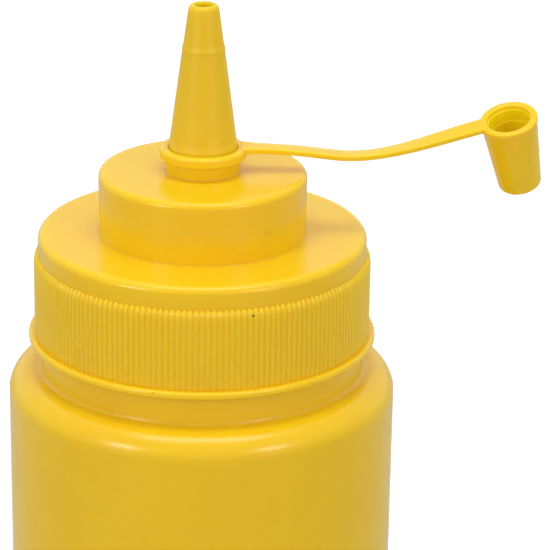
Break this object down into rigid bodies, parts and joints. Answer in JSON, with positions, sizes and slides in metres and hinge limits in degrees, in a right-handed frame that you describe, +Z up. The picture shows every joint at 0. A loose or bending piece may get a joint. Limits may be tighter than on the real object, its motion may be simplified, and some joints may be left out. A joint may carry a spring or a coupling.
{
  "type": "sauce squeeze bottle",
  "caption": "Round sauce squeeze bottle with a ribbed screw cap, a tapered nozzle and a small nozzle cap held on a strap.",
  "frame": {"origin": "centre of the bottle's flat underside", "axes": "+Z up along the bottle's axis to the nozzle, +X the way the strap leads, -Y the side the small cap's mouth nods to"},
  "size_m": [0.104, 0.076, 0.25],
  "materials": {
    "bottle_plastic": "yellow blow-moulded polyethylene, satin with a soft sheen",
    "cap_plastic": "yellow injection-moulded plastic, semi-gloss",
    "nozzle_cap_plastic": "yellow injection-moulded soft plastic, semi-gloss"
  },
  "bodies": {
    "root": {"bottle": "bottle_plastic", "screw_cap": "cap_plastic", "nozzle_cap": "nozzle_cap_plastic"}
  },
  "joints": []
}
